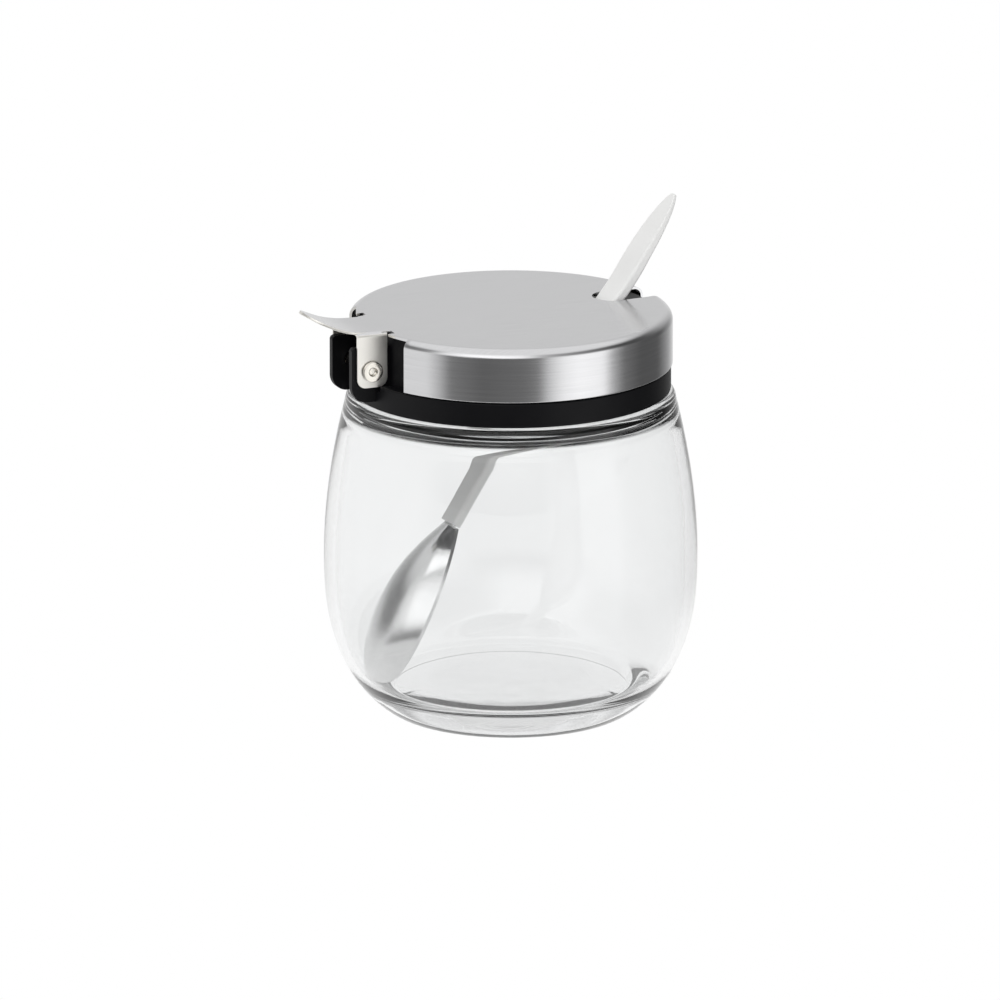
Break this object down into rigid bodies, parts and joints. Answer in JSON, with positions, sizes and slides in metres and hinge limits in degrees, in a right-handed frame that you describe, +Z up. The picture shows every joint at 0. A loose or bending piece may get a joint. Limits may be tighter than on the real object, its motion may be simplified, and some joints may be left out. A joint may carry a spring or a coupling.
{
  "type": "sugar bowl",
  "caption": "Clear glass sugar bowl with a screw collar, a hinged steel flip lid with a thumb lever and spoon notch, and a spoon.",
  "frame": {"origin": "on the jar's axis, at the flat underside it stands on", "axes": "+Z up; -X towards the hinge and thumb lever; the spoon and its notch lie towards +X, 6 degrees round towards +Y"},
  "size_m": [0.102, 0.0924, 0.1258],
  "materials": {
    "clear_glass": "clear pressed glass, polished",
    "black_plastic": "satin moulded",
    "gasket_rubber": "soft translucent white",
    "brushed_steel": "fine satin brushed",
    "rivet_steel": "bright rolled rivet",
    "white_plastic": "white moulded, soft gloss",
    "polished_steel": "polished stainless steel"
  },
  "bodies": {
    "jar": {"glass_jar": "clear_glass"},
    "seal": {"neck_gasket": "gasket_rubber"},
    "collar": {"screw_collar": "black_plastic"},
    "lid": {"lid_shell": "brushed_steel", "hinge_pin": "rivet_steel"},
    "spoon": {"spoon_handle": "white_plastic", "spoon_bowl": "polished_steel"}
  },
  "joints": [
    {"name": "seal_lift", "type": "slide", "parent": "jar", "child": "seal", "axis": [0, 0, 1], "range_m": [0, 0.005]},
    {"name": "collar_turn", "type": "hinge", "parent": "seal", "child": "collar", "pos_m": [0, 0, 0.09], "axis": [0, 0, 1], "range_deg": [0, 450]},
    {"name": "lid_hinge", "type": "hinge", "parent": "collar", "child": "lid", "pos_m": [-0.0401, 0, 0.09205], "axis": [0, -1, 0], "range_deg": [0, 95]},
    {"name": "spoon_lift", "type": "slide", "parent": "collar", "child": "spoon", "axis": [0.6564, 0.069, 0.7513], "range_m": [0, 0.02]}
  ],
  "couplings": [
    {"joint": "collar_turn", "follows": "seal_lift", "rad_per_m": 1570.8}
  ]
}
